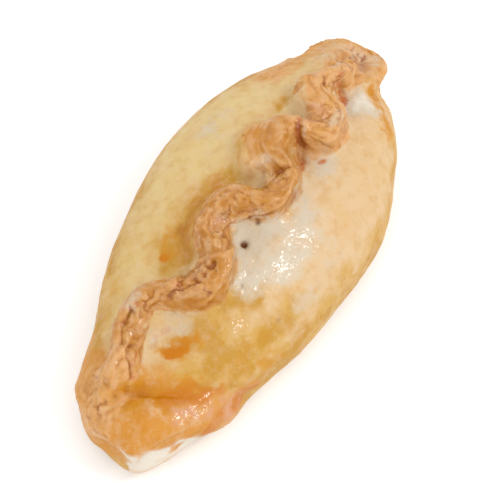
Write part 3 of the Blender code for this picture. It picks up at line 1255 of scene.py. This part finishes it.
# %% Surface: matt crust, light in the dough, and a coat of egg
GRAIN_HEIGHT = 0.0006
BLISTER_HEIGHT = 0.0005
# The smoothest and the roughest crust, and the thinnest and the thickest egg.
CRUST_ROUGHNESS = (0.4, 0.6)
EGG_THICKNESS = (0.2, 1.4)
FINE_GRAIN = 0.35
SURFACE = {
    "Specular IOR Level": 0.2,
    "Subsurface Weight": 0.08,
    "Subsurface Radius": (1.0, 0.5, 0.25),
    "Subsurface Scale": 0.003,
    "Coat Roughness": 0.16,
    "Coat IOR": 1.6,
}

rough = spread(mottle(240.0), 0.3, 0.7, *CRUST_ROUGHNESS)
tree.links.new(rough, shader.inputs["Roughness"])
for name, value in SURFACE.items():
    shader.inputs[name].default_value = value
grain = number("MULTIPLY_ADD", mottle(1400.0, 2.0), FINE_GRAIN, mottle(520.0, 3.0))
bumps = {"Height": grain, "Strength": 0.5, "Distance": GRAIN_HEIGHT}
grained = node("ShaderNodeBump", bumps)
tree.links.new(grained.outputs["Normal"], shader.inputs["Normal"])

thick = spread(mottle(200.0), 0.4, 0.6, *EGG_THICKNESS)
washed = times(layer("shine"), thick)
tree.links.new(washed, shader.inputs["Coat Weight"])
bumps = {"Height": mottle(380.0, 1.5), "Strength": 1.0, "Distance": BLISTER_HEIGHT}
blistered = node("ShaderNodeBump", bumps)
tree.links.new(blistered.outputs["Normal"], shader.inputs["Coat Normal"])

pasty.data.materials.clear()
pasty.data.materials.append(pastry)
print("finish:", len(tree.nodes), "nodes,", len(tree.links), "links")

# %% [markdown]
# ## The view
#
# The camera looks down steeply from the blunt end's side, with a long lens from half a metre
# away, so that the pasty lies across the picture from corner to corner.

# %% Camera
AIM_LEVEL = 22
CAMERA_TARGET = Vector((*CASE_MIDDLE[:2], AIM_LEVEL)) * MM
CAMERA_DISTANCE = 520 * MM
CAMERA_AZIMUTH = math.radians(-60.9)
CAMERA_ELEVATION = math.radians(60.0)
LENS = 108


def direction(azimuth, elevation):
    """Towards a viewer. Azimuth 0 is the near side, and it grows anticlockwise from above."""
    level = math.cos(elevation)
    across, ahead = math.sin(azimuth) * level, -math.cos(azimuth) * level
    return Vector((across, ahead, math.sin(elevation)))


def shown(name, data):
    made = bpy.data.objects.new(name, data)
    bpy.context.scene.collection.objects.link(made)
    return made


towards_camera = direction(CAMERA_AZIMUTH, CAMERA_ELEVATION)
camera = shown("camera", bpy.data.cameras.new("camera"))
camera.data.lens = LENS
camera.location = CAMERA_TARGET + towards_camera * CAMERA_DISTANCE
camera.rotation_euler = towards_camera.to_track_quat("Z", "Y").to_euler()
bpy.context.scene.camera = camera
print("camera at", [round(part, 3) for part in camera.location])

# %% [markdown]
# ## A pale table in soft light
#
# The floor is a large sheet of white paper. The world lights everything evenly from all around,
# as a bright white room does. Two small windows, one high and one low, give the egg wash its
# glints, and a broad weak light from the other side opens the shadows.

# %% Floor
FLOOR_SIZE = 8.0
PAPER = (0.94, 0.94, 0.94, 1)

bm = bmesh.new()
bmesh.ops.create_grid(bm, x_segments=1, y_segments=1, size=FLOOR_SIZE / 2)
floor = shown("floor", bpy.data.meshes.new("floor"))
bm.to_mesh(floor.data)
bm.free()
floor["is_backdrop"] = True
paper = bpy.data.materials.new("pale_floor")
paper.use_nodes = True
matt = paper.node_tree.nodes["Principled BSDF"]
matt.inputs["Base Color"].default_value = PAPER
matt.inputs["Roughness"].default_value = 0.9
floor.data.materials.append(paper)
print("floor:", FLOOR_SIZE, "m square")

# %% Light
ROOM_LIGHT = 1.2
LIGHT_DISTANCE = 1.0

world = bpy.data.worlds.new("studio")
world.use_nodes = True
background = world.node_tree.nodes["Background"]
background.inputs["Color"].default_value = (1, 1, 1, 1)
background.inputs["Strength"].default_value = ROOM_LIGHT
bpy.context.scene.world = world
bpy.context.scene.view_settings.view_transform = "Standard"


def soft_light(name, azimuth, elevation, size, power):
    """A round light: azimuth and elevation in degrees, size in metres, power in watts."""
    towards = direction(math.radians(azimuth), math.radians(elevation))
    light = shown(name, bpy.data.lights.new(name, "AREA"))
    light.data.shape = "DISK"
    light.data.size = size
    light.data.energy = power
    light.location = CAMERA_TARGET + towards * LIGHT_DISTANCE
    light.rotation_euler = towards.to_track_quat("Z", "Y").to_euler()


soft_light("window", 16, 56, 0.2, 2.6)
soft_light("low window", 10, 26, 0.2, 0.8)
soft_light("left fill", -100, 40, 0.8, 1.3)

# %% Check the size, and finish
shown_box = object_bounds()
for axis, low, high, shown_low, shown_high in zip("xyz", *cad_box, *shown_box):
    print(axis, f"solid {(high - low) / MM:.1f}, skin {(shown_high - shown_low) / MM:.1f} mm")
